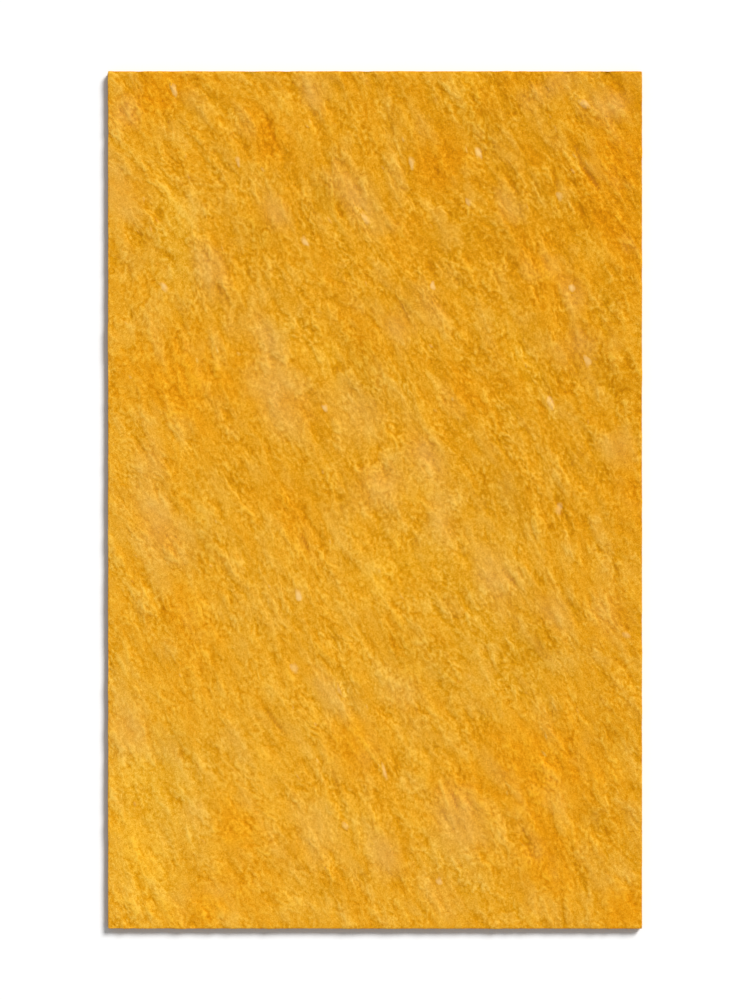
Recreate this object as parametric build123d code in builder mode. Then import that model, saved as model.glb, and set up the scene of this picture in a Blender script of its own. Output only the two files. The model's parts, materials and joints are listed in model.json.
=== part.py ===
"""An acoustic panel: one flat rectangular sheet of thick needle-punched polyester felt, dyed through.

The sheet is stock cut to size with a straight blade, so its outline is a plain rectangle, its four edges are
square to its faces, and its arrises and corners are only as round as the springy fibre leaves them. It lies on
its back face, with its long side along Y.
"""

from build123d import *

import os

# Driving dimensions, in millimetres.
panel_width = 760.0
panel_length = 1220.0
panel_thickness = 12.0

# The felt springs back a little behind the blade, and its loose fibre ends round off what was cut.
corner_radius = 1.2
arris_radius = 0.8

# The back face stands on Z = 0, and the origin is at its centre.
back_face_plane = Plane.XY


with BuildPart() as felt_panel:
    # The cut outline, pushed up to the thickness of the sheet.
    with BuildSketch(back_face_plane) as cut_outline:
        Rectangle(panel_width, panel_length)
        fillet(cut_outline.vertices(), radius=corner_radius)
    extrude(amount=panel_thickness)

    # The arrises round both faces: the lowest and the highest edges of the sheet.
    edges_by_height = felt_panel.edges().group_by(Axis.Z)
    fillet(edges_by_height[0] + edges_by_height[-1], radius=arris_radius)

felt_panel.part.label = "felt_panel"

os.makedirs("parts", exist_ok=True)
export_step(felt_panel.part, "parts/felt_panel.step")

size = felt_panel.part.bounding_box().size
print(f"felt_panel {size.X:.1f} x {size.Y:.1f} x {size.Z:.1f} mm, {felt_panel.part.volume / 1e6:.3f} litres")
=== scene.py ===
import json
import math
import random

import bmesh
import bpy
import numpy as np
from mathutils import Euler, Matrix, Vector, noise
from mathutils.bvhtree import BVHTree

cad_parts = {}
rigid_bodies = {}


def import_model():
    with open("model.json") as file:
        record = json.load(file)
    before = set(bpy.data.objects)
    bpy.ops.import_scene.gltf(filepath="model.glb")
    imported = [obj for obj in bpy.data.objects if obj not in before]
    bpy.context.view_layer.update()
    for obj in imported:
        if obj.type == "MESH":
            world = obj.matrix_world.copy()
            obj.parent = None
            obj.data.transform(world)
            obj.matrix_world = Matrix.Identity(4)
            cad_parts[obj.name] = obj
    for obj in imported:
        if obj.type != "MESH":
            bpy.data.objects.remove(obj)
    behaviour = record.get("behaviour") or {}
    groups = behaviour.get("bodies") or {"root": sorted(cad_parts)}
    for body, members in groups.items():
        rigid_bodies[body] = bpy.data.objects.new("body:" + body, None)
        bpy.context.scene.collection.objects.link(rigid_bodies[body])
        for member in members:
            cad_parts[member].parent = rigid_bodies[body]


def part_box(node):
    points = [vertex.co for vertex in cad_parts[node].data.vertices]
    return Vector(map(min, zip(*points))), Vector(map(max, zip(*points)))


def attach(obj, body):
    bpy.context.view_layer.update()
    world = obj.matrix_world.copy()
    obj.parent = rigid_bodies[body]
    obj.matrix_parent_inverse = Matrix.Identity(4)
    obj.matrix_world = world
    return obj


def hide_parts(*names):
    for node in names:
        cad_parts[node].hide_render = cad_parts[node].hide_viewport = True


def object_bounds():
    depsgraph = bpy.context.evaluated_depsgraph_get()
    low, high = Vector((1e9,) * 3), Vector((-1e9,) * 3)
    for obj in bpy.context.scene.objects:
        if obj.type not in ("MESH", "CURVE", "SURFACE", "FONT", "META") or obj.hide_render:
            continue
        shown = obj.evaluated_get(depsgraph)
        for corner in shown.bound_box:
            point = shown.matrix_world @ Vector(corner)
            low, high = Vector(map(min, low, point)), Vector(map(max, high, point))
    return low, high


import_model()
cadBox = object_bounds()
mm = 0.001

# the fibre leans down to the right over the whole sheet, as it left the needle loom
napAngle = math.radians(-62)

# where a normal's Z is over this, it is on the front face, and below its negative on the back
faceOn = 0.6


def node(tree, kind, inputs=None, **settings):
    made = tree.nodes.new(kind)
    for name, value in settings.items():
        setattr(made, name, value)
    for key, value in (inputs or {}).items():
        if isinstance(value, bpy.types.NodeSocket):
            tree.links.new(value, made.inputs[key])
        else:
            made.inputs[key].default_value = value
    return made


def maths(tree, operation, first, second=0.0, third=0.0):
    inputs = {0: first, 1: second, 2: third}
    return node(tree, "ShaderNodeMath", inputs, operation=operation).outputs[0]


def vectors(tree, operation, first, second=(0, 0, 0), third=(0, 0, 0)):
    inputs = {0: first, 1: second, 2: third}
    return node(tree, "ShaderNodeVectorMath", inputs, operation=operation).outputs[0]


def axes(tree, vector):
    return node(tree, "ShaderNodeSeparateXYZ", {0: vector}).outputs


def spread(tree, value, low, high, newLow=0.0, newHigh=1.0, smooth=False):
    kind = "SMOOTHSTEP" if smooth else "LINEAR"
    inputs = {0: value, 1: low, 2: high, 3: newLow, 4: newHigh}
    return node(tree, "ShaderNodeMapRange", inputs, interpolation_type=kind).outputs[0]


def noiseAt(tree, place, size, detail=0.0):
    return node(tree, "ShaderNodeTexNoise", {"Vector": place, "Scale": 1 / size, "Detail": detail}).outputs


def offMiddle(tree, value):
    # a noise runs from 0 to 1, so this is how far it is from its middle
    return maths(tree, "SUBTRACT", value, 0.5)


def stray(tree, place, every, reach, detail, start):
    # the start, moved off to any side by up to half the reach
    aside = vectors(tree, "SUBTRACT", noiseAt(tree, place, every, detail)["Color"], (0.5, 0.5, 0.5))
    return vectors(tree, "MULTIPLY_ADD", aside, (reach,) * 3, start)


def mixColour(tree, share, first, second, blend="MIX"):
    inputs = {0: share, 6: first, 7: second}
    return node(tree, "ShaderNodeMix", inputs, data_type="RGBA", blend_type=blend).outputs[2]


def colourRamp(tree, value, stops):
    # a new ramp has a stop at each end, and those in between are added
    ramp = node(tree, "ShaderNodeValToRGB", {0: value})
    elements = ramp.color_ramp.elements
    for end, (place, colour) in zip(elements, (stops[0], stops[-1])):
        end.position, end.color = place, colour
    for place, colour in stops[1:-1]:
        elements.new(place).color = colour
    return ramp.outputs[0]


def grouped(tree, group, place):
    # what a node group gives at a place
    return node(tree, "ShaderNodeGroup", {0: place}, node_tree=group).outputs


def linear(red, green, blue):
    # an 8-bit colour as it looks on screen, as the linear colour that a shader takes
    parts = [c / 255 for c in (red, green, blue)]
    parts = [c / 12.92 if c <= 0.04045 else ((c + 0.055) / 1.055) ** 2.4 for c in parts]
    return (*parts, 1.0)


def addSockets(tree, ins, outs):
    kinds = {"vector": "NodeSocketVector", "value": "NodeSocketFloat", "colour": "NodeSocketColor",
             "shape": "NodeSocketGeometry"}
    for name, kind in ins.items():
        tree.interface.new_socket(name, in_out="INPUT", socket_type=kinds[kind])
    for name, kind in outs.items():
        tree.interface.new_socket(name, in_out="OUTPUT", socket_type=kinds[kind])
    return tree.nodes.new("NodeGroupInput"), tree.nodes.new("NodeGroupOutput")


def finished(bm, name):
    mesh = bpy.data.meshes.new(name)
    bm.to_mesh(mesh)
    bm.free()
    piece = bpy.data.objects.new(name, mesh)
    bpy.context.scene.collection.objects.link(piece)
    return piece


nap = {
    # how the lay of the fibre strays, over the whole sheet and from one lock to the next: the size of the
    # pattern that it goes by, how far from one side to the other, and detail
    "strays": ((260 * mm, 45 * mm, 0.0), (14 * mm, 3.2 * mm, 1.0)),
    "sideSqueeze": 3.0,          # the layers lie closer together through the thickness
    "layers": {                  # the size across the nap, how much longer than wide, and detail
        "Cloud": (44 * mm, 2.3, 1.0),
        "Lump": (20 * mm, 3.0, 0.0),
        "Lock": (9 * mm, 2.9, 0.0),
        "Wisp": (4.6 * mm, 1.4, 0.0),
        "Grain": (2.1 * mm, 1.0, 0.5),
        "Dye": (33 * mm, 1.9, 2.0),
        "Loft": (30 * mm, 1.5, 1.0),
    },
    "lofted": ("Lump", "Lock", "Wisp"),
    "loftVary": 2.6,             # how much the fluffy places differ from the matted ones
    "loftAcross": 0.08,          # the nap stands higher to the right, by this much over a metre
    "loftUp": 0.14,              # and to the top
}


def layNap(tree, place):
    # the lay of the fibre as heights from 0 to 1, the same in shader nodes and in geometry nodes
    shifted = place
    for every, reach, detail in nap["strays"]:
        shifted = stray(tree, place, every, reach, detail, shifted)
    turned = node(tree, "ShaderNodeVectorRotate", {"Vector": shifted, "Angle": -napAngle},
                  rotation_type="Z_AXIS").outputs[0]
    found = {}
    for step, (name, (size, stretch, detail)) in enumerate(nap["layers"].items()):
        squeeze = (1 / stretch, 1, nap["sideSqueeze"])
        combed = vectors(tree, "MULTIPLY_ADD", turned, squeeze, (step,) * 3)
        found[name] = noiseAt(tree, combed, size, detail)[0]
    # matted places lie flatter than fluffy ones
    spot = axes(tree, place)
    loft = maths(tree, "MULTIPLY_ADD", offMiddle(tree, found["Loft"]), nap["loftVary"], 1.0)
    loft = maths(tree, "MULTIPLY_ADD", spot["X"], nap["loftAcross"], loft)
    loft = maths(tree, "MULTIPLY_ADD", spot["Y"], nap["loftUp"], loft)
    for name in nap["lofted"]:
        found[name] = maths(tree, "MULTIPLY_ADD", offMiddle(tree, found[name]), loft, 0.5)
    return found


def napGroup():
    tree = bpy.data.node_groups.new("fibreLay", "ShaderNodeTree")
    entry, leave = addSockets(tree, {"Place": "vector"}, {name: "value" for name in nap["layers"]})
    for name, socket in layNap(tree, entry.outputs[0]).items():
        tree.links.new(socket, leave.inputs[name])
    return tree


sheet = {
    "cellWidth": 2.55 * mm,      # the front face's cells are longer along Y, as the nap nearly is
    "cellLength": 4.6 * mm,
    "backCell": 12 * mm,
    "arris": 0.8 * mm,
    "cornerPull": 0.35 * mm,     # a cut corner gives a little
    "edgeRows": 5,
    "lumpHeight": 1.0 * mm,
    "lockHeight": 0.9 * mm,
    "back": (-0.5, -0.1),        # a normal's Z up to which it is all back, and from which it is none
    "backSink": 1.35 * mm,
    "mostRise": 4 * mm,          # on the front and the edges, while the back has none
    "edge": (0.1, 0.95),         # a normal's Z, up or down, up to which it is all edge, and from which none
    "edgeShare": 0.35,           # the blade leaves the cut edges flatter than the faces
}


def feltSheet():
    low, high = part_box("felt_panel")
    width, length, thick = high - low
    r = sheet["arris"]
    bm = bmesh.new()
    across = round((width - 2 * r) / sheet["cellWidth"])
    along = round((length - 2 * r) / sheet["cellLength"])
    bmesh.ops.create_grid(bm, x_segments=across, y_segments=along, size=0.5)
    bmesh.ops.scale(bm, vec=(width - 2 * r, length - 2 * r, 1), verts=bm.verts)
    bmesh.ops.translate(bm, vec=(0, 0, high.z), verts=bm.verts)

    # the rim goes down from the front face in rings: round the arris, down the cut, round the arris below
    rings = [(r * math.sin(a), high.z - r + r * math.cos(a)) for a in (math.pi / 4, math.pi / 2)]
    rows = sheet["edgeRows"]
    rings += [(r, high.z - r - (thick - 2 * r) * step / rows) for step in range(1, rows + 1)]
    rings += [(r * math.cos(a), low.z + r - r * math.sin(a)) for a in (math.pi / 4, math.pi / 2)]
    rim = [e for e in bm.edges if e.is_boundary]
    reach, height = 0.0, high.z
    for outward, level in rings:
        made = bmesh.ops.extrude_edge_only(bm, edges=rim)["geom"]
        verts = [g for g in made if isinstance(g, bmesh.types.BMVert)]
        grown = [(side / 2 - r + outward) / (side / 2 - r + reach) for side in (width, length)]
        bmesh.ops.scale(bm, vec=(*grown, 1), verts=verts)
        bmesh.ops.translate(bm, vec=(0, 0, level - height), verts=verts)
        rim = [g for g in made if isinstance(g, bmesh.types.BMEdge) and g.is_boundary]
        reach, height = outward, level

    # the back face has fewer, larger cells, and a band of triangles joins it to the rim
    inset = sheet["backCell"] / 2
    backSize = [side - 2 * r - 2 * inset for side in (width, length)]
    across, along = (round(side / sheet["backCell"]) for side in backSize)
    back = bmesh.ops.create_grid(bm, x_segments=across, y_segments=along, size=0.5)["verts"]
    bmesh.ops.scale(bm, vec=(*backSize, 1), verts=back)
    bmesh.ops.translate(bm, vec=(0, 0, low.z), verts=back)
    gap = [e for e in bm.edges if e.is_boundary]
    bmesh.ops.triangle_fill(bm, edges=gap, use_beauty=True, use_dissolve=False, normal=(0, 0, -1))
    bmesh.ops.recalc_face_normals(bm, faces=bm.faces)

    # the fill leaves its faces in another order each time, and what is scattered later goes by that order
    bm.verts.index_update()
    count = len(bm.verts)

    def order(face):
        first, second, third = sorted(v.index for v in face.verts)[:3]
        return (first * count + second) * count + third
    bm.faces.sort(key=order)

    for vert in bm.verts:
        if abs(vert.co.x) > width / 2 - 2 * r and abs(vert.co.y) > length / 2 - 2 * r:
            vert.co.x -= math.copysign(sheet["cornerPull"], vert.co.x)
            vert.co.y -= math.copysign(sheet["cornerPull"], vert.co.y)
    for face in bm.faces:
        face.smooth = True
    print("felt sheet:", len(bm.faces), "faces,", sum(len(f.verts) - 2 for f in bm.faces), "triangles,",
          round(bm.calc_volume() * 1e6), "cm3")
    return finished(bm, "felt_sheet")


def applyNodes(piece, tree):
    # runs a geometry node tree on the piece and keeps what comes out as its mesh
    modifier = piece.modifiers.new(tree.name, "NODES")
    modifier.node_group = tree
    graph = bpy.context.evaluated_depsgraph_get()
    before = piece.data
    piece.data = bpy.data.meshes.new_from_object(piece.evaluated_get(graph), depsgraph=graph)
    piece.modifiers.clear()
    bpy.data.meshes.remove(before)
    piece.data.name = piece.name


def raiseNap(piece):
    # the lumps and locks of the nap, raised in the mesh itself
    tree = bpy.data.node_groups.new("napRelief", "GeometryNodeTree")
    entry, leave = addSockets(tree, {"Geometry": "shape"}, {"Geometry": "shape"})
    normal = node(tree, "GeometryNodeInputNormal").outputs[0]
    found = layNap(tree, node(tree, "GeometryNodeInputPosition").outputs[0])
    lump = maths(tree, "MULTIPLY", offMiddle(tree, found["Lump"]), sheet["lumpHeight"] * 2)
    lock = maths(tree, "MULTIPLY", offMiddle(tree, found["Lock"]), sheet["lockHeight"] * 2)
    height = maths(tree, "ADD", lump, lock)
    facing = axes(tree, normal)["Z"]
    # the back face and its arris only sink into the sheet, so that it never reaches under what it lies on
    under = spread(tree, facing, *sheet["back"], 1.0, 0.0)
    height = maths(tree, "SUBTRACT", height, maths(tree, "MULTIPLY", under, sheet["backSink"]))
    most = spread(tree, under, 0.0, 1.0, sheet["mostRise"], 0.0)
    height = maths(tree, "MINIMUM", height, most)
    share = spread(tree, maths(tree, "ABSOLUTE", facing), *sheet["edge"], sheet["edgeShare"], 1.0)
    inputs = {0: normal, "Scale": maths(tree, "MULTIPLY", height, share)}
    offset = node(tree, "ShaderNodeVectorMath", inputs, operation="SCALE").outputs[0]
    moved = node(tree, "GeometryNodeSetPosition", {"Geometry": entry.outputs[0], "Offset": offset})
    tree.links.new(moved.outputs[0], leave.inputs[0])
    applyNodes(piece, tree)
    print("nap raised on", piece.name)


def pointPlaces(mesh):
    # the mesh's points as one array, in mm
    places = np.empty(len(mesh.vertices) * 3, dtype=np.float32)
    mesh.vertices.foreach_get("co", places)
    return places.reshape(-1, 3).astype(float) / mm


def keepValues(mesh, name, values):
    layer = mesh.attributes.new(name, "FLOAT", "POINT")
    layer.data.foreach_set("value", values)


folds = {
    # pulls in the nap: where each starts and ends, in mm from the sheet's middle, and how far it stands up
    # or, below nought, is drawn in
    "lines": [(293, 477, 321, 441, -2.1), (284, 507, 294, 476, -0.9), (251, 476, 261, 441, -1.0),
              (186, 461, 207, 431, -0.9), (-34, 422, 0, 385, 1.0), (-56, 422, -46, 401, -0.8),
              (-303, 358, -282, 335, -0.8), (-108, 134, -72, 109, -0.6), (-138, 577, -117, 550, 0.6),
              (-374, 522, -325, 470, 0.5), (-303, 444, -246, 376, 0.6), (275, 584, 318, 545, 0.9),
              (323, 568, 362, 545, 0.8), (270, 528, 289, 496, -0.7), (266, 497, 298, 461, 0.8),
              (233, 388, 244, 366, -0.5), (234, 145, 241, 123, -0.8), (246, 145, 259, 123, 1.3),
              (63, 59, 88, 35, 0.7), (152, 163, 163, 134, 0.8), (74, 184, 95, 148, 0.8),
              (35, 287, 49, 248, -0.8), (287, 422, 308, 376, -0.7), (298, 376, 330, 333, 0.5),
              (-147, 291, -129, 255, -0.5), (-209, 556, -196, 538, 1.0), (-296, 604, -282, 575, 1.0),
              (244, 476, 251, 451, 0.7), (-164, -286, -126, -336, -1.0), (-106, -46, -93, -74, -1.1),
              (-140, -106, -125, -142, -0.6), (-54, -256, -40, -284, 1.0), (-22, -333, 15, -393, 0.8),
              (91, -394, 106, -441, 0.8), (107, -411, 119, -440, -0.8), (-61, -387, -46, -426, -0.6),
              (-33, -531, -5, -581, -0.5), (20, -188, 31, -220, -0.9), (180, -96, 203, -122, -0.8),
              (244, -142, 273, -181, 0.5), (323, -135, 337, -163, 0.9), (335, -222, 360, -240, -0.9),
              (227, -188, 237, -217, -0.6), (187, -245, 202, -284, 0.6), (-376, -207, -348, -257, 0.6),
              (159, -192, 173, -234, 0.7), (24, -561, 49, -597, 0.7), (-271, -463, -253, -506, 0.7)],
    "halfWidth": 2.0,            # mm, at which a fold has fallen to about a third
    "height": 1.2 * mm,
}


def layFolds(piece):
    # the front face is drawn up or in along each fold, and an attribute tells the material where, which
    # paints shade into the drawn-in creases and light onto the raised folds
    mesh = piece.data
    places = pointPlaces(mesh)
    values = np.zeros(len(places))
    for startX, startY, endX, endY, depth in folds["lines"]:
        run = np.array((endX - startX, endY - startY))
        away = places[:, :2] - np.array((startX, startY))
        share = np.clip(away @ run / (run @ run), 0, 1)
        off = np.linalg.norm(away - share[:, None] * run, axis=1) / folds["halfWidth"]
        values += depth * (1 - (2 * share - 1) ** 4) * np.exp(-off * off)
    values[places[:, 2] < cadBox[1].z / mm / 2] = 0
    places[:, 2] += values * folds["height"] / mm
    mesh.vertices.foreach_set("co", (places * mm).ravel())
    keepValues(mesh, "fold", values)
    print("folds laid:", len(folds["lines"]))


marks = {
    # where the dye and the mix of fibre differ: x and y in mm from the sheet's middle, length along the
    # nap, width across it, and strength
    "orange": [(-303, 582, 60, 110, 0.9), (-154, 518, 90, 60, 0.8), (88, 476, 90, 80, 0.7),
               (350, 482, 85, 80, 1.0), (351, 376, 150, 60, 0.8), (237, 326, 100, 60, 0.9),
               (-268, 177, 170, 150, 0.8), (-26, 250, 110, 50, 0.5), (-111, -29, 120, 50, 0.7),
               (-268, -164, 110, 60, 0.7), (365, 13, 80, 50, 0.8), (-26, -356, 100, 80, 0.8),
               (237, -385, 150, 150, 1.0), (-197, -463, 90, 80, 0.8), (-232, -570, 70, 140, 0.7),
               (240, -520, 110, 70, 0.8), (358, -577, 70, 60, 0.8), (116, 148, 60, 80, 0.5),
               (31, 376, 80, 45, 0.5), (116, -413, 60, 70, 0.6), (-289, 353, 120, 70, -0.8),
               (-147, 234, 45, 40, -0.8), (-33, 148, 60, 60, -0.7), (166, -165, 300, 140, -0.5),
               (-61, -284, 50, 45, -1.0), (-289, -421, 170, 100, -0.5), (109, -520, 120, 60, -0.5)],
    "pale": [(-32, 432, 110, 40, 0.9), (-140, 411, 50, 45, 0.8), (-232, 333, 90, 50, 0.9),
             (-353, 547, 45, 45, 0.9), (-360, 430, 130, 60, 0.6), (-154, 234, 70, 40, 0.9),
             (-132, 148, 110, 75, 0.9), (-33, 134, 90, 60, 0.8), (31, 248, 50, 35, 0.8),
             (73, 63, 70, 35, 1.0), (10, 24, 60, 80, 0.8), (-310, -36, 110, 60, 1.0),
             (95, -29, 70, 45, 0.7), (166, -107, 120, 60, 0.8), (251, -161, 60, 35, 0.7),
             (330, -165, 70, 60, 0.6), (-62, -278, 80, 35, 0.9), (-346, -328, 80, 60, 0.8),
             (123, -463, 100, 80, 0.8), (17, -506, 70, 40, 0.9), (95, -563, 70, 45, 0.6),
             (-83, -477, 90, 80, 0.5), (337, 561, 50, 60, 1.0), (251, 589, 35, 80, 0.6),
             (-90, 575, 60, 35, 0.8), (187, 415, 60, 30, 0.7), (284, 298, 60, 30, 0.8),
             (287, 220, 50, 60, 0.7), (81, 277, 70, 45, 0.5), (-318, 56, 60, 50, 0.5),
             (351, 77, 50, 35, 0.6), (45, -278, 60, 45, 0.5)],
    "dark": [(-69, 433, 60, 40, 1.0), (-161, 383, 60, 45, 0.8), (145, 540, 70, 45, 0.7),
             (187, 369, 60, 35, 0.7), (45, 277, 40, 25, 0.8), (-19, 205, 110, 45, 0.8),
             (230, -214, 70, 50, 0.8), (38, -214, 90, 45, 0.7), (187, 6, 110, 60, 0.6),
             (244, 433, 70, 35, 0.6), (337, -335, 70, 50, 0.7), (95, -250, 120, 35, 0.5),
             (-289, -349, 70, 45, 0.6), (308, -449, 50, 35, 0.6), (-239, -65, 70, 40, 0.6),
             (350, 170, 120, 50, 0.4)],
    "bright": [(-332, -520, 180, 80, 1.0), (-332, -392, 110, 80, 0.7), (24, -100, 60, 120, 0.8),
               (123, 589, 60, 60, 0.7), (-69, 205, 60, 35, 0.8), (209, 200, 100, 35, 0.7),
               (-47, -456, 70, 60, 0.6), (-290, 420, 120, 35, 0.6), (145, -79, 60, 45, 0.6)],
}


def layMarks(piece):
    # how much of each kind of mark lies at each point, as attributes that the materials read
    turn = np.array((math.cos(napAngle), math.sin(napAngle)))
    places = pointPlaces(piece.data)
    for kind, spots in marks.items():
        values = np.zeros(len(places))
        for markX, markY, length, width, strength in spots:
            # at half its length or width from its middle, a mark has fallen to about a third
            away = places[:, :2] - (markX, markY)
            along = away @ turn / (length / 2)
            across = (away[:, 1] * turn[0] - away[:, 0] * turn[1]) / (width / 2)
            values += strength * np.exp(-(along * along + across * across))
        keepValues(piece.data, kind, values)
    print("marks laid:", ", ".join(marks))


bakeMap = {
    # where each side lies on the map: its scale for each metre, and its lower left corner
    "front": (0.795, 0.008, 0.008),
    "back": (0.4, 0.63, 0.008),
    "left": (0.795, 0.95, 0.008),
    "right": (0.795, 0.975, 0.008),
    "upper": (0.6, 0.64, 0.51),
    "lower": (0.6, 0.68, 0.51),
}


def layBakeMap(piece):
    # the front face gets most of the map, and each side lies flat on it
    mesh = piece.data
    corner, ends = cadBox
    layer = mesh.uv_layers.new(name="OFBake")
    spots = [0.0] * (2 * len(mesh.loops))
    for face in mesh.polygons:
        normal = face.normal
        if abs(normal.z) > faceOn:
            side = "front" if normal.z > 0 else "back"
        elif abs(normal.x) > abs(normal.y):
            side = "right" if normal.x > 0 else "left"
        else:
            side = "upper" if normal.y > 0 else "lower"
        scale, left, foot = bakeMap[side]
        for loop in face.loop_indices:
            x, y, z = mesh.vertices[mesh.loops[loop].vertex_index].co - corner
            # the back is seen from behind, and the short edges stand on end
            u, v = {"front": (x, y), "back": (ends.x - corner.x - x, y), "left": (z, y), "right": (z, y),
                    "upper": (z, x), "lower": (z, x)}[side]
            spots[2 * loop] = left + u * scale
            spots[2 * loop + 1] = foot + v * scale
    layer.data.foreach_set("uv", spots)
    print("bake map laid on", piece.name)


felt = {
    # the felt's colour runs from deep through gold to pale, and the pale end's extra whiteness stands
    # partly for a painted sheen on raised fibre
    "gold": linear(231, 161, 14),
    "deep": linear(199, 128, 0),
    "pale": linear(252, 200, 80),
    "undyed": linear(255, 209, 128),
    "paleFibre": linear(242, 195, 122),
    # Cloud is the felt's own uneven tone, while Lump, Lock, Wisp and Grain follow the same noise as the
    # raised relief and bumps, so raised places are painted lighter and hollows darker: painted light and
    # shade over the real relief
    "toneAndShadeShares": {"Cloud": 0.34, "Lump": 0.33, "Lock": 0.48, "Wisp": 0.73, "Grain": 0.66},
    "bumps": {"Wisp": 0.42 * mm, "Grain": 0.08 * mm},
    # drawn-in folds are painted darker and raised folds lighter: painted shade in the creases and painted
    # light on the ridges
    "foldLightAndShade": 0.62,
    "driftAcross": -0.155,       # the tone falls from left to right, by this much over a metre
    "driftUp": -0.08,            # and from foot to top
    # each mix of fibre beside the plain gold: what it does to the colour, how much of it comes and goes
    # with the dye all over the sheet, and how much lies there everywhere
    "mixes": {
        "orange": ((1.05, 0.89, 0.3, 1), 1.7, 0.35),
        "dark": ((0.85, 0.85, 0.7, 1), 0.0, 0.0),
        "bright": ((1.09, 1.15, 1.1, 1), 0.0, 0.0),
    },
    "paleByDye": -1.6,
    "palest": 0.27,              # the most pale fibre that a mark has in its mix
    "ragged": 0.35,              # how far the lumps and locks eat into a mark's border
    "fullMix": 1.2,              # the strength at which a mark has all of its mix
    # single fibres, seen from close by: turn off the nap in degrees, width, and how far they curl
    "strands": {
        "Along": (0, 0.55 * mm, 2.2 * mm),
        "Left": (38, 0.5 * mm, 2.6 * mm),
        "Right": (-33, 0.5 * mm, 2.6 * mm),
        "Over": (83, 0.6 * mm, 3.0 * mm),
    },
    "curlEvery": 7 * mm,
    "strandStretch": 15.0,
    "strandsApart": 0.37,        # each direction reads another part of the noise
    "strandHalf": 0.07,          # of the noise, from the middle of a fibre to its side
    # strands on top are painted lighter and the gaps between them darker, as painted light and shade over
    # their bump
    "strandLightAndShade": 0.35,
    "strandMiddle": 0.42,        # where a strand leaves the tone as it is
    "strandBump": 0.1 * mm,
    "roughness": 0.95,
    "gloss": 0.05,
    "sheen": 0.04,
}


def strandGroup():
    # fine curled fibres lying over each other in a few directions, from 0 between them to 1 on top of one
    tree = bpy.data.node_groups.new("fineStrands", "ShaderNodeTree")
    entry, leave = addSockets(tree, {"Place": "vector"}, {"Strand": "value"})
    place = entry.outputs[0]
    top = 0.0
    for step, (turn, width, curl) in enumerate(felt["strands"].values()):
        shifted = stray(tree, place, felt["curlEvery"], curl * 2, 1.0, place)
        inputs = {"Vector": shifted, "Angle": -napAngle - math.radians(turn)}
        turned = node(tree, "ShaderNodeVectorRotate", inputs, rotation_type="Z_AXIS").outputs[0]
        combed = vectors(tree, "MULTIPLY_ADD", turned, (1 / felt["strandStretch"], 1, 1),
                         (step * felt["strandsApart"],) * 3)
        # the middle values of the noise run in long thin lines, which are the fibres
        away = maths(tree, "ABSOLUTE", offMiddle(tree, noiseAt(tree, combed, width)[0]))
        line = spread(tree, away, 0.0, felt["strandHalf"], 1.0, 0.0, smooth=True)
        top = maths(tree, "MAXIMUM", line, top)
    tree.links.new(top, leave.inputs[0])
    return tree


def feltColour(lay, strandLay):
    # the colour of the felt at a place, with painted light and shade that follow its relief, and the height
    # of its finer fibres
    tree = bpy.data.node_groups.new("feltColour", "ShaderNodeTree")
    entry, leave = addSockets(tree, {"Place": "vector"}, {"Colour": "colour", "Height": "value"})
    layers = grouped(tree, lay, entry.outputs[0])
    spot = axes(tree, entry.outputs[0])
    toneAndShade = maths(tree, "MULTIPLY_ADD", spot["X"], felt["driftAcross"], 0.5)
    toneAndShade = maths(tree, "MULTIPLY_ADD", spot["Y"], felt["driftUp"], toneAndShade)
    # raised lumps, locks, wisps and grain are painted lighter and their hollows darker, as painted light
    # and shade, beside the random tone of the Cloud
    for name, share in felt["toneAndShadeShares"].items():
        toneAndShade = maths(tree, "MULTIPLY_ADD", offMiddle(tree, layers[name]), share, toneAndShade)
    # painted shade along drawn-in folds and painted light along raised ones
    fold = node(tree, "ShaderNodeAttribute", attribute_name="fold").outputs["Fac"]
    toneAndShade = maths(tree, "MULTIPLY_ADD", fold, felt["foldLightAndShade"], toneAndShade)
    fine = grouped(tree, strandLay, entry.outputs[0])[0]
    # painted light on the strands that lie on top, and painted shade in the gaps between them
    fineLightAndShade = maths(tree, "SUBTRACT", fine, felt["strandMiddle"])
    toneAndShade = maths(tree, "MULTIPLY_ADD", fineLightAndShade, felt["strandLightAndShade"], toneAndShade)
    # the pale end of this ramp stands partly for paler fibre and partly for a painted sheen on the raised
    # fibre
    colour = colourRamp(tree, toneAndShade, ((0.0, felt["deep"]), (0.5, felt["gold"]), (1.0, felt["pale"])))

    # a mark's border is ragged, and fainter mixes of the same fibres lie all over the sheet
    dye = offMiddle(tree, layers["Dye"])
    ragged = maths(tree, "SUBTRACT", maths(tree, "ADD", layers["Lump"], layers["Lock"]), 1.0)

    def shareOf(kind, byDye, least, most):
        mark = node(tree, "ShaderNodeAttribute", attribute_name=kind).outputs["Fac"]
        share = maths(tree, "MULTIPLY_ADD", dye, byDye, maths(tree, "ADD", mark, least))
        share = maths(tree, "MULTIPLY_ADD", ragged, felt["ragged"], share)
        return spread(tree, share, 0.0, felt["fullMix"], 0.0, most)

    for kind, (change, byDye, least) in felt["mixes"].items():
        colour = mixColour(tree, shareOf(kind, byDye, least, 1.0), colour, change, "MULTIPLY")
    share = shareOf("pale", felt["paleByDye"], 0.0, felt["palest"])
    colour = mixColour(tree, share, colour, felt["paleFibre"])
    tree.links.new(colour, leave.inputs["Colour"])

    height = maths(tree, "MULTIPLY", fine, felt["strandBump"])
    for name, share in felt["bumps"].items():
        height = maths(tree, "MULTIPLY_ADD", layers[name], share, height)
    tree.links.new(height, leave.inputs["Height"])
    return tree


def matt(name, roughness):
    # a new material with hardly any gloss, its tree and its shader
    material = bpy.data.materials.new(name)
    material.use_nodes = True
    tree = material.node_tree
    shader = tree.nodes["Principled BSDF"]
    shader.inputs["Roughness"].default_value = roughness
    shader.inputs["Specular IOR Level"].default_value = felt["gloss"]
    return material, tree, shader


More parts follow.
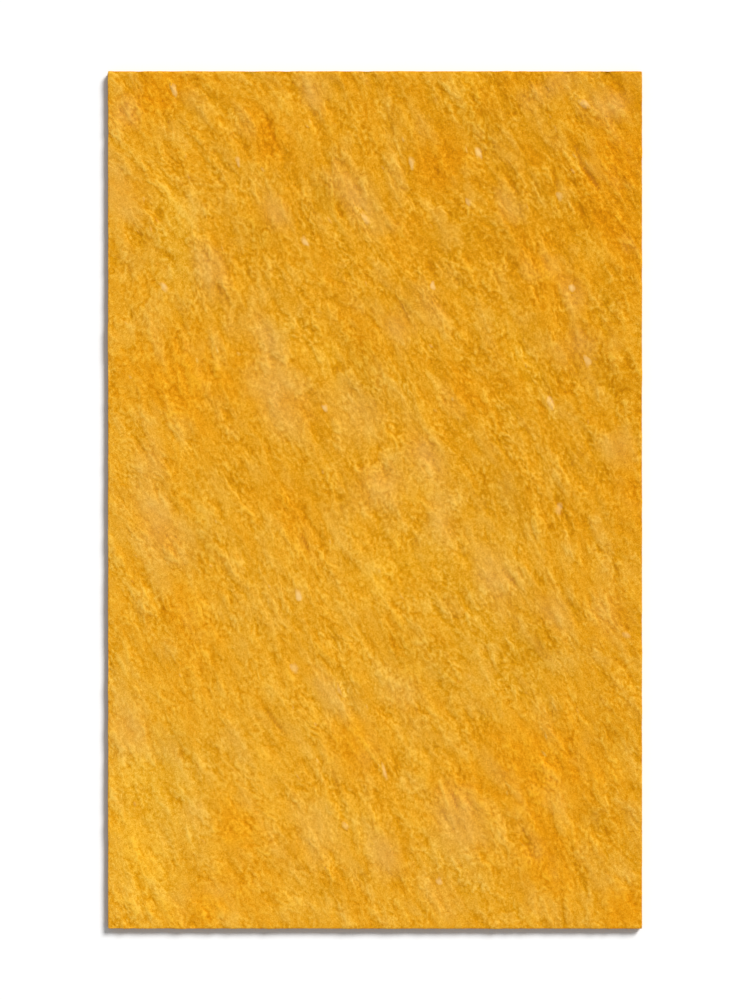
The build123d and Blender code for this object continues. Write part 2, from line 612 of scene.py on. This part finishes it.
def feltLook(tree, shades):
    return grouped(tree, shades, node(tree, "ShaderNodeTexCoord").outputs["Object"])


def raiseBump(tree, shader, height):
    bump = node(tree, "ShaderNodeBump", {"Height": height, "Distance": 1.0, "Strength": 1.0})
    tree.links.new(bump.outputs[0], shader.inputs["Normal"])


def feltMaterial(shades):
    material, tree, shader = matt("goldenFelt", felt["roughness"])
    look = feltLook(tree, shades)
    tree.links.new(look["Colour"], shader.inputs["Base Color"])
    raiseBump(tree, shader, look["Height"])
    shader.inputs["Sheen Weight"].default_value = felt["sheen"]
    return material


fibres = {
    "thick": 0.24 * mm,
    "long": 10 * mm,
    # how far each kind bends sideways, in mm, at a third and at two thirds of its length
    "bends": ((0.0, 0.0), (0.5, 0.5), (-0.5, 0.4), (0.7, -0.6), (-0.2, -0.8)),
    # the least and the most that a fibre's length, width and height are scaled by
    "smallest": (0.55, 0.8, 0.4),
    "largest": (1.3, 1.2, 0.6),
    "front": 11000,              # about how many lie on each side
    "back": 2000,
    "edges": 2000,
    "fan": 0.9,                  # radians that a fibre lies off the nap, either way
    "roll": 0.1,
    "lift": 0.05,
    "edgeTurns": (0.25, 0.15, 0.25),    # radians about X, Y and Z, either way, on a cut edge
    "edgeOn": 0.4,               # a normal's Z, up or down, below which it is on a cut edge
    "clear": 5 * mm,             # kept free along the cut edges, where the blade has trimmed the fibre
    "seed": 7,
    "sizeSeed": 10,
    "tintSeed": 20,
    # each fibre's colour over the felt's own: a tint drawn for each fibre, and on the whole about 1.2 times
    # lighter, which is painted light that makes up for the shade on the thin fibres' sides
    "tintsWithPaintedLight": ((0.05, (1.0, 0.95, 0.75, 1)), (0.5, (1.2, 1.2, 1.2, 1)), (1.0, (1.4, 1.5, 2.4, 1))),
    "roughness": 0.7,
}


def strand(name, bends):
    # one closed three-sided fibre along X, tapered to a point at both ends
    reach, thick = fibres["long"], fibres["thick"]
    bm = bmesh.new()
    ring = bmesh.ops.create_circle(bm, segments=3, radius=thick / 2, cap_ends=False)["verts"]
    bmesh.ops.rotate(bm, verts=ring, cent=(0, 0, 0), matrix=Euler((0, math.pi / 2, 0)).to_matrix())
    bmesh.ops.translate(bm, verts=ring, vec=(-reach / 2, 0, 0))
    ends = [ring]
    sideways = 0.0
    for bend in (*bends, 0.0):
        edges = [e for e in bm.edges if e.is_wire or e.is_boundary]
        edges = [e for e in edges if e.verts[0] in ring and e.verts[1] in ring]
        made = bmesh.ops.extrude_edge_only(bm, edges=edges)["geom"]
        ring = [g for g in made if isinstance(g, bmesh.types.BMVert)]
        bmesh.ops.translate(bm, verts=ring, vec=(reach / 3, bend * mm - sideways, 0))
        sideways = bend * mm
    ends.append(ring)
    for tip in ends:
        bmesh.ops.pointmerge(bm, verts=tip, merge_co=sum((v.co for v in tip), Vector()) / 3)
    bmesh.ops.recalc_face_normals(bm, faces=bm.faces)
    for face in bm.faces:
        face.smooth = True
    return finished(bm, name)


def drawn(tree, low, high, seed):
    kind = "FLOAT_VECTOR" if isinstance(low, tuple) else "FLOAT"
    made = node(tree, "FunctionNodeRandomValue", data_type=kind)
    made.inputs["Seed"].default_value = seed
    first, second = [i for i in made.inputs if i.enabled and i.name in ("Min", "Max")]
    first.default_value, second.default_value = low, high
    return [o for o in made.outputs if o.enabled][0]


def lieOnFace(tree, seed):
    # on a face the fibre fans out about the nap
    roll, lift, fan = fibres["roll"], fibres["lift"], fibres["fan"]
    lie = drawn(tree, (-roll, -lift, napAngle - fan), (roll, lift, napAngle + fan), seed)
    return node(tree, "FunctionNodeEulerToRotation", {0: lie}).outputs[0]


def lieOnEdge(tree, normal, seed):
    # on a cut edge it lies in the plane of the cut, and mostly along it
    lie = drawn(tree, tuple(-turn for turn in fibres["edgeTurns"]), fibres["edgeTurns"], seed)
    lie = node(tree, "FunctionNodeEulerToRotation", {0: lie}).outputs[0]
    outward = node(tree, "FunctionNodeAlignRotationToVector", {"Vector": normal}, axis="Z").outputs[0]
    onward = vectors(tree, "CROSS_PRODUCT", (0, 0, 1), normal)
    level = node(tree, "FunctionNodeAlignRotationToVector", {"Rotation": outward, "Vector": onward},
                 axis="X", pivot_axis="Z").outputs[0]
    return node(tree, "FunctionNodeRotateRotation", {0: level, 1: lie}, rotation_space="LOCAL").outputs[0]


def looseFibres(felted):
    kinds = bpy.data.collections.new("strands")
    bpy.context.scene.collection.children.link(kinds)
    for step, bends in enumerate(fibres["bends"]):
        made = strand(f"strand{step}", bends)
        bpy.context.scene.collection.objects.unlink(made)
        kinds.objects.link(made)

    tree = bpy.data.node_groups.new("scatterFibres", "GeometryNodeTree")
    entry, leave = addSockets(tree, {"Geometry": "shape"}, {"Geometry": "shape"})
    facing = axes(tree, node(tree, "GeometryNodeInputNormal").outputs[0])["Z"]
    place = axes(tree, node(tree, "GeometryNodeInputPosition").outputs[0])
    width, length, thick = cadBox[1] - cadBox[0]
    areas = {"front": width * length, "back": width * length, "edges": 2 * thick * (width + length)}
    inward = 1.0
    for axis, side in (("X", width), ("Y", length)):
        near = maths(tree, "LESS_THAN", maths(tree, "ABSOLUTE", place[axis]), side / 2 - fibres["clear"])
        inward = maths(tree, "MULTIPLY", near, inward)
    chosen = {"front": maths(tree, "MULTIPLY", maths(tree, "GREATER_THAN", facing, faceOn), inward),
              "back": maths(tree, "MULTIPLY", maths(tree, "LESS_THAN", facing, -faceOn), inward),
              "edges": maths(tree, "LESS_THAN", maths(tree, "ABSOLUTE", facing), fibres["edgeOn"])}
    sets = []
    for step, (side, area) in enumerate(areas.items()):
        points = node(tree, "GeometryNodeDistributePointsOnFaces",
                      {"Mesh": entry.outputs[0], "Selection": chosen[side], "Density": fibres[side] / area})
        points.inputs["Seed"].default_value = fibres["seed"] + step
        if side == "edges":
            turned = lieOnEdge(tree, points.outputs["Normal"], step)
        else:
            turned = lieOnFace(tree, step)
        size = drawn(tree, fibres["smallest"], fibres["largest"], fibres["sizeSeed"] + step)
        strands = node(tree, "GeometryNodeCollectionInfo", {"Collection": kinds})
        strands.inputs["Separate Children"].default_value = True
        strands.inputs["Reset Children"].default_value = True
        placed = node(tree, "GeometryNodeInstanceOnPoints",
                      {"Points": points.outputs["Points"], "Instance": strands.outputs[0],
                       "Rotation": turned, "Scale": size})
        placed.inputs["Pick Instance"].default_value = True
        sets.append(placed.outputs[0])
    joined = node(tree, "GeometryNodeJoinGeometry")
    for made in sets:
        tree.links.new(made, joined.inputs[0])
    tinted = node(tree, "GeometryNodeStoreNamedAttribute",
                  {"Geometry": joined.outputs[0], "Name": "tint"}, data_type="FLOAT", domain="INSTANCE")
    value = [i for i in tinted.inputs if i.enabled and i.name == "Value"][0]
    tree.links.new(drawn(tree, 0.0, 1.0, fibres["tintSeed"]), value)
    real = node(tree, "GeometryNodeRealizeInstances", {0: tinted.outputs[0]})
    # no fibre reaches under what the sheet lies on, and a metre to each side leaves the rest as it is
    lowest = (-1, -1, fibres["thick"] / 4)
    settled = vectors(tree, "MAXIMUM", node(tree, "GeometryNodeInputPosition").outputs[0], lowest)
    flat = node(tree, "GeometryNodeSetPosition", {"Geometry": real.outputs[0], "Position": settled})
    tree.links.new(flat.outputs[0], leave.inputs[0])

    piece = bpy.data.objects.new("loose_fibres", felted.data.copy())
    bpy.context.scene.collection.objects.link(piece)
    applyNodes(piece, tree)
    for made in list(kinds.objects):
        bpy.data.objects.remove(made)
    bpy.data.collections.remove(kinds)
    print("loose fibres:", len(piece.data.polygons), "faces")
    return piece


def fibreMaterial(shades):
    material, tree, shader = matt("looseFibre", fibres["roughness"])
    look = feltLook(tree, shades)
    tint = node(tree, "ShaderNodeAttribute", attribute_name="tint").outputs["Fac"]
    # the felt's colour times each fibre's tint, which lifts it with painted light
    tint = colourRamp(tree, tint, fibres["tintsWithPaintedLight"])
    colour = mixColour(tree, 1.0, look["Colour"], tint, "MULTIPLY")
    tree.links.new(colour, shader.inputs["Base Color"])
    return material


neps = {
    # tufts of undyed fibre: x and y in mm from the sheet's middle, the length and width that show, turn in
    # degrees, and whiteness
    "placed": [(-301, 303, 20, 11, -50, 1.0), (280, 301, 19, 10, -80, 1.0), (-72, 131, 14, 11, -60, 0.8),
               (-108, -136, 23, 13, -75, 0.9), (81, 305, 15, 12, -70, 0.75), (-100, 368, 21, 9, -58, 0.8),
               (148, 493, 18, 10, -75, 0.75), (-195, 481, 16, 9, -80, 0.7), (-51, -271, 28, 9, -75, 0.5),
               (14, -388, 28, 10, -72, 0.6), (-115, -239, 19, 13, -60, 0.5),
               (-42, -463, 14, 11, -70, 0.45), (250, 138, 23, 11, -70, 0.65),
               (261, -12, 19, 13, -70, 0.45), (91, -541, 17, 12, -65, 0.6), (52, 479, 19, 11, -80, 0.6),
               (262, 433, 16, 12, -50, 0.55), (133, 422, 16, 10, -62, 0.55), (301, 198, 23, 14, -75, 0.6),
               (298, 564, 27, 12, -50, 0.6), (-15, 401, 34, 11, -58, 0.6), (-286, 584, 20, 11, -70, 0.65),
               (357, -193, 16, 12, -60, 0.55)],
    "strewn": 80,
    "over": (0.47, 0.485),       # of the sheet's width and length, to either side of its middle
    "longs": (7, 13),            # the least and the most of a strewn tuft's length, in mm
    "wides": (3, 5),
    "turns": 0.4,                # radians off the nap, either way
    "whites": (0.08, 0.32),
    "fineness": 4,
    "strewnFineness": 3,
    "high": 1.2 * mm,            # from the middle to the top of the whitest tuft
    "sunk": 0.8,                 # the share of it that lies in the felt, so that only a low cap shows
    "roughScale": 1.8,
    "apart": 900,                # each tuft reads another part of the noise
    "ragged": 0.5,               # how far the noise draws the outline in and out
    "core": 1.1,                 # how white the middle is, and how much the noise breaks it up
    "patchy": 0.9,
    "dropFrom": 100 * mm,        # above the felt, where the rays start
    "seed": 41,
}


def feltTop(felted):
    # the raised face's height at a place, by a ray straight down
    graph = bpy.context.evaluated_depsgraph_get()
    tree = BVHTree.FromObject(felted, graph)

    def height(x, y):
        return tree.ray_cast(Vector((x, y, neps["dropFrom"])), Vector((0, 0, -1)))[0].z
    return height


def paleNeps(felted):
    draw = random.Random(neps["seed"])
    size = cadBox[1] - cadBox[0]
    acrossBy, alongBy = neps["over"]
    places = [(x * mm, y * mm, long * mm, wide * mm, math.radians(turn), white)
              for x, y, long, wide, turn, white in neps["placed"]]
    for step in range(neps["strewn"]):
        places.append((draw.uniform(-acrossBy, acrossBy) * size.x, draw.uniform(-alongBy, alongBy) * size.y,
                       draw.uniform(*neps["longs"]) * mm, draw.uniform(*neps["wides"]) * mm,
                       napAngle + draw.uniform(-neps["turns"], neps["turns"]),
                       draw.uniform(*neps["whites"])))
    height = feltTop(felted)
    sunk = neps["sunk"]
    cap = math.sqrt(1 - sunk ** 2)  # the width that shows, to that of the whole tuft
    bm = bmesh.new()
    whiteness = bm.verts.layers.float.new("whiteness")
    for step, (x, y, long, wide, turn, white) in enumerate(places):
        fineness = neps["fineness"] if step < len(neps["placed"]) else neps["strewnFineness"]
        made = bmesh.ops.create_icosphere(bm, subdivisions=fineness, radius=1)["verts"]
        for vert in made:
            rough = noise.noise(vert.co * neps["roughScale"] + Vector((x, y, 0)) * neps["apart"])
            shown = (vert.co.z - sunk) / (1 - sunk)
            share = shown * (neps["core"] * shown + neps["patchy"] * rough)
            vert[whiteness] = white * max(0.0, min(1.0, share))
            vert.co.xy *= 1 + neps["ragged"] * rough
        high = neps["high"] * (1 + white) / 2
        bmesh.ops.scale(bm, verts=made, vec=(long / 2 / cap, wide / 2 / cap, high))
        bmesh.ops.rotate(bm, verts=made, cent=(0, 0, 0), matrix=Euler((0, 0, turn)).to_matrix())
        bmesh.ops.translate(bm, verts=made, vec=(x, y, -sunk * high))
        # each tuft lies over the lumps that are under it
        for vert in made:
            vert.co.z += height(vert.co.x, vert.co.y)
    for face in bm.faces:
        face.smooth = True
    print("pale neps:", len(places), "tufts,", len(bm.faces), "faces")
    return finished(bm, "pale_neps")


def nepMaterial(shades):
    material, tree, shader = matt("undyedFibre", felt["roughness"])
    look = feltLook(tree, shades)
    white = node(tree, "ShaderNodeAttribute", attribute_name="whiteness").outputs["Fac"]
    colour = mixColour(tree, white, look["Colour"], felt["undyed"])
    tree.links.new(colour, shader.inputs["Base Color"])
    raiseBump(tree, shader, look["Height"])
    return material


studio = {
    "lens": 100.0,
    "frameHeight": 1.4225,       # metres, from the picture's top to its foot, level with the front face
    "sunFrom": (0.66, 0.84, 0.85),
    "sunSize": math.radians(21),
    "level": 1.03,
    "sunShare": 0.7,             # of the light on a level face, and the rest comes from all round
    "floorSize": 30,
    "floorDrop": 0.2 * mm,
    "floorGrey": (0.6, 0.6, 0.6, 1),
    "white": (1, 1, 1, 1),
}


def seenRays(tree):
    rays = node(tree, "ShaderNodeLightPath").outputs
    mirrored = maths(tree, "MAXIMUM", rays["Is Glossy Ray"], rays["Is Transmission Ray"])
    return maths(tree, "MAXIMUM", rays["Is Camera Ray"], mirrored)


def setStage(top):
    scene = bpy.context.scene
    scene.view_settings.view_transform = "Standard"

    data = bpy.data.cameras.new("camera")
    data.lens = studio["lens"]
    camera = bpy.data.objects.new("camera", data)
    camera.location = (0, 0, top + studio["frameHeight"] * data.lens / data.sensor_width)
    scene.collection.objects.link(camera)
    scene.camera = camera

    lamp = bpy.data.lights.new("sun", "SUN")
    lamp.angle = studio["sunSize"]
    towards = Vector(studio["sunFrom"]).normalized()
    lamp.energy = studio["level"] * studio["sunShare"] * math.pi / towards.z
    sun = bpy.data.objects.new("sun", lamp)
    sun.rotation_euler = towards.to_track_quat("Z", "Y").to_euler()
    scene.collection.objects.link(sun)

    world = bpy.data.worlds.new("world")
    scene.world = world
    world.use_nodes = True
    tree = world.node_tree
    level = spread(tree, seenRays(tree), 0.0, 1.0, studio["level"] * (1 - studio["sunShare"]), 1.0)
    tree.links.new(level, tree.nodes["Background"].inputs["Strength"])
    tree.nodes["Background"].inputs["Color"].default_value = studio["white"]

    bm = bmesh.new()
    bmesh.ops.create_grid(bm, x_segments=1, y_segments=1, size=studio["floorSize"])
    bmesh.ops.translate(bm, vec=(0, 0, -studio["floorDrop"]), verts=bm.verts)
    floor = finished(bm, "floor")
    material = bpy.data.materials.new("whiteFloor")
    material.use_nodes = True
    tree = material.node_tree
    shader = tree.nodes["Principled BSDF"]
    colour = mixColour(tree, seenRays(tree), studio["floorGrey"], studio["white"])
    tree.links.new(colour, shader.inputs["Base Color"])
    shader.inputs["Roughness"].default_value = 1.0
    shader.inputs["Specular IOR Level"].default_value = 0.0
    floor.data.materials.append(material)
    print("stage set: camera", round(camera.location.z, 2), "m up")


shades = feltColour(napGroup(), strandGroup())

felted = feltSheet()
raiseNap(felted)
layFolds(felted)
layMarks(felted)
felted.data.materials.clear()
felted.data.materials.append(feltMaterial(shades))
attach(felted, "root")
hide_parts("felt_panel")

loose = looseFibres(felted)
loose.data.materials.clear()
loose.data.materials.append(fibreMaterial(shades))
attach(loose, "root")

# the fibres start as a copy of the sheet, so its map is laid once they are made
layBakeMap(felted)

flecks = paleNeps(felted)
flecks.data.materials.append(nepMaterial(shades))
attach(flecks, "root")

setStage(cadBox[1].z)
